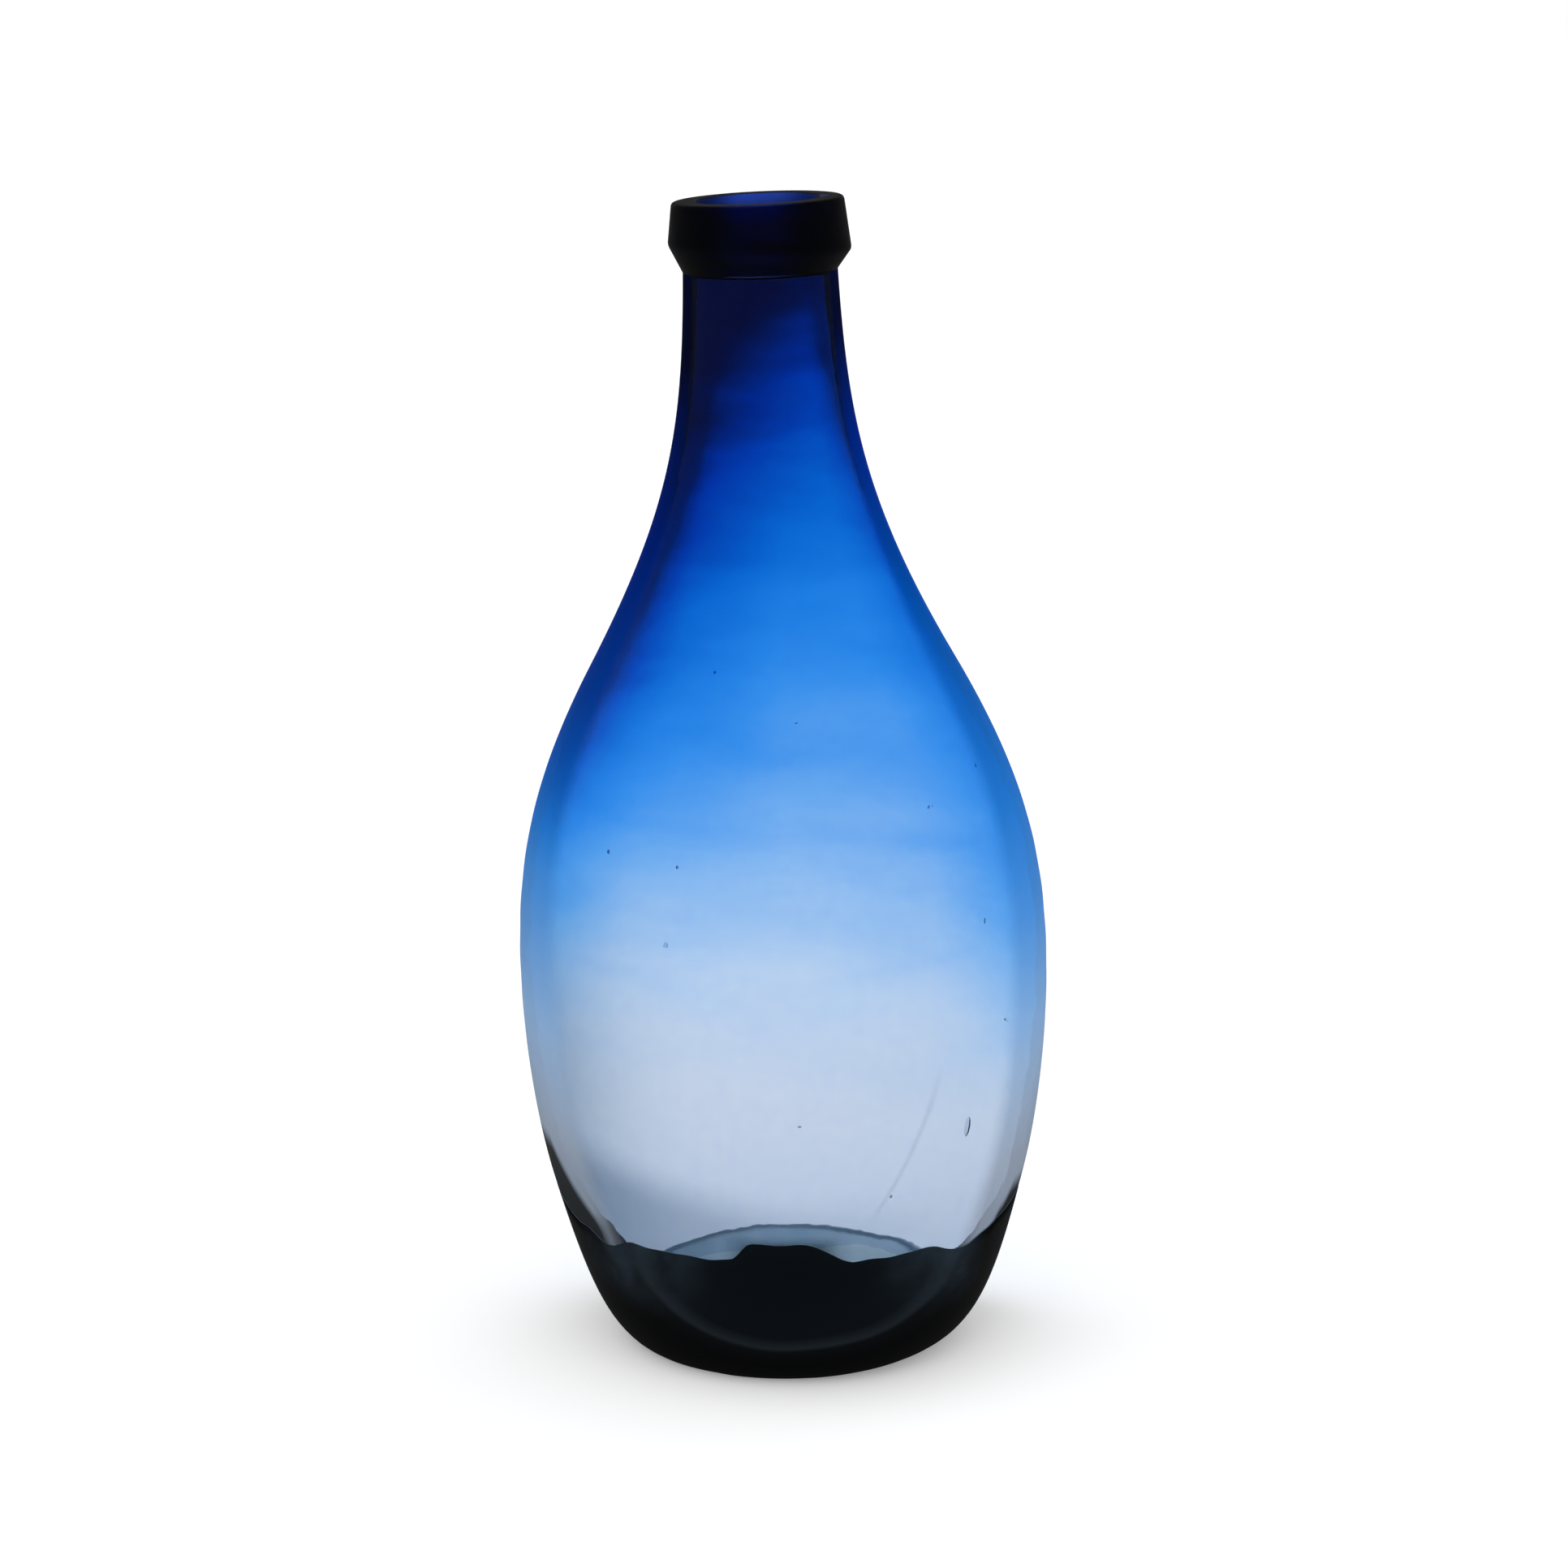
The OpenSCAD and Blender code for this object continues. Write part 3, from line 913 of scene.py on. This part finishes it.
def collar_shape(angles, i, r, z):
    """Tilts the rim and the lower corner their own ways, and makes the collar a little uneven."""
    x = r * np.sin(angles)
    rim = np.clip((z - COLLAR_Z) / (RIM_Z - COLLAR_Z), 0, 1)
    corner = np.clip((z - COLLAR_FOOT) / (COLLAR_Z - COLLAR_FOOT), 0, 1) * (1 - rim)
    if r < BORE_LIMIT:
        corner = 0
    heights = z + x * (rim * math.tan(RIM_TILT) - corner * math.tan(CORNER_TILT))
    return r + 0.08 * np.sin(3 * angles + z / 4), heights


collar = turned("collar", collar_line, collar_shape)
outward(collar)
collar.data.materials.append(collar_glass())

# ---------------------------------------------------------------- the pontil scar

# Below this height the ring's glass is chipped, fully so from CHIP_BLEND farther down
CHIP_Z, CHIP_BLEND = 12.6, 2
# Size of the chips across and up, and over how many vertices each is smoothed
CHIP_R, CHIP_UP, CHIP_SMOOTH = 0.25, 0.5, 5

scar_line = rounded(
    [(10.6, 12.8), (10.3, 10.9), (8.6, 10.3), (6.9, 10.8), (6.6, 13.4), (8.6, 13.6)],
    radii=(0.6, 0.6, 0.6, 0.6),
    steps=3,
)
rng = np.random.default_rng(7)
scar_rough = rng.normal(0, 1, (len(scar_line), AROUND))


def scar_shape(angles, i, r, z):
    """Chips the ring's lower edge."""
    kernel = np.ones(CHIP_SMOOTH) / CHIP_SMOOTH
    chips = np.convolve(np.tile(scar_rough[i], 3), kernel, "same")[AROUND : 2 * AROUND]
    low = max(0.0, (CHIP_Z - z) / CHIP_BLEND)
    return r + CHIP_R * chips * low, z + CHIP_UP * chips * low


scar = turned("pontil_ring", scar_line, scar_shape)
outward(scar)
scar.data.materials.append(scar_glass())

# ---------------------------------------------------------------- which CAD nodes each piece stands for

for piece, nodes, slot in (
    (wall, ("clear_gather", "cobalt_casing"), "cobalt_glass"),
    (collar, ("applied_lip",), "collar_glass"),
    (pad, ("smoke_pad",), "smoke_glass"),
    (scar, ("pontil_scar",), "scar_glass"),
):
    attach(piece, "root")
    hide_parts(*nodes)

# ---------------------------------------------------------------- floor, light and camera

# Half the floor's width in m, its colour, and the glow that makes it white where it is seen
FLOOR_REACH, FLOOR_GREY, FLOOR_GLOW = 6, 0.8, 0.24
# Strength of the white world as a light, and where it is seen
WORLD_LIGHT, WORLD_SEEN = 0.5, 1.0
# Name, direction towards the lamp, spread in degrees and strength
LAMPS = (
    ("key", (-0.6, -0.5, 1.2), 70, 1.1),
    ("fill", (0.9, 0.2, 1.0), 90, 0.6),
    ("front", (0.2, -1.0, 0.45), 80, 1.1),
)
# The camera stands 1 m from its aim
CAMERA_ELEVATION = math.radians(12.7)
CAMERA_AIM = Vector((0.00295, 0.0, 0.1388))
CAMERA_LENS, CAMERA_SENSOR = 97.0, 36.0
CAMERA_SHIFT = (-0.0072, -0.0088)


def seen_ray(nt):
    """1 for rays that show a thing itself: straight, mirrored or through glass."""
    paths = node(nt, "ShaderNodeLightPath").outputs
    straight_or_mirrored = maths(nt, "MAXIMUM", paths["Is Camera Ray"], paths["Is Glossy Ray"])
    return maths(nt, "MAXIMUM", straight_or_mirrored, paths["Is Transmission Ray"])


def white_floor():
    """A wide floor that takes the bottle's shadow, staged."""
    r = FLOOR_REACH
    mesh = bpy.data.meshes.new("floor")
    mesh.from_pydata([(-r, -r, 0), (r, -r, 0), (r, r, 0), (-r, r, 0)], [], [(0, 1, 2, 3)])
    floor = placed("floor", mesh)
    made, nt, _ = material("floor")
    grey = (FLOOR_GREY, FLOOR_GREY, FLOOR_GREY, 1)
    diffuse = node(nt, "ShaderNodeBsdfDiffuse", {"Color": grey}).outputs[0]
    glow = node(
        nt, "ShaderNodeEmission", {"Color": (1, 1, 1, 1), "Strength": times(nt, seen_ray(nt), FLOOR_GLOW)}
    ).outputs[0]
    surface(nt, node(nt, "ShaderNodeAddShader", {0: diffuse, 1: glow}).outputs[0])
    mesh.materials.append(made)


def white_world():
    """A white surrounding, dimmer as a light than where it is seen."""
    world = bpy.data.worlds.new("studio")
    bpy.context.scene.world = world
    nt = emptied(world)
    strength = ranged(nt, seen_ray(nt), 0, 1, WORLD_LIGHT, WORLD_SEEN)
    back = node(nt, "ShaderNodeBackground", {"Color": (1, 1, 1, 1), "Strength": strength}).outputs[0]
    node(nt, "ShaderNodeOutputWorld", {"Surface": back})


def sun(name, toward, spread, strength):
    """A broad, even lamp that glass doesn't mirror."""
    lamp = bpy.data.lights.new(name, "SUN")
    lamp.angle, lamp.energy = math.radians(spread), strength
    # Its light comes through glass as shadow rays alone, so those carry all of it
    lamp.cycles.use_multiple_importance_sampling = False
    obj = placed(name, lamp)
    obj.rotation_euler = Vector(toward).to_track_quat("Z", "Y").to_euler()
    obj.visible_glossy = False
    obj.visible_transmission = False


def front_camera():
    """The camera that matches the photo."""
    camera = placed("camera", bpy.data.cameras.new("camera"))
    toward = Vector((0, -math.cos(CAMERA_ELEVATION), math.sin(CAMERA_ELEVATION)))
    camera.location = CAMERA_AIM + toward
    camera.rotation_euler = (-toward).to_track_quat("-Z", "Y").to_euler()
    camera.data.lens, camera.data.sensor_width = CAMERA_LENS, CAMERA_SENSOR
    camera.data.shift_x, camera.data.shift_y = CAMERA_SHIFT
    camera.data.clip_start = 0.05
    bpy.context.scene.camera = camera


bpy.context.scene.view_settings.view_transform = "Standard"
white_floor()
white_world()
for lamp in LAMPS:
    sun(*lamp)
front_camera()
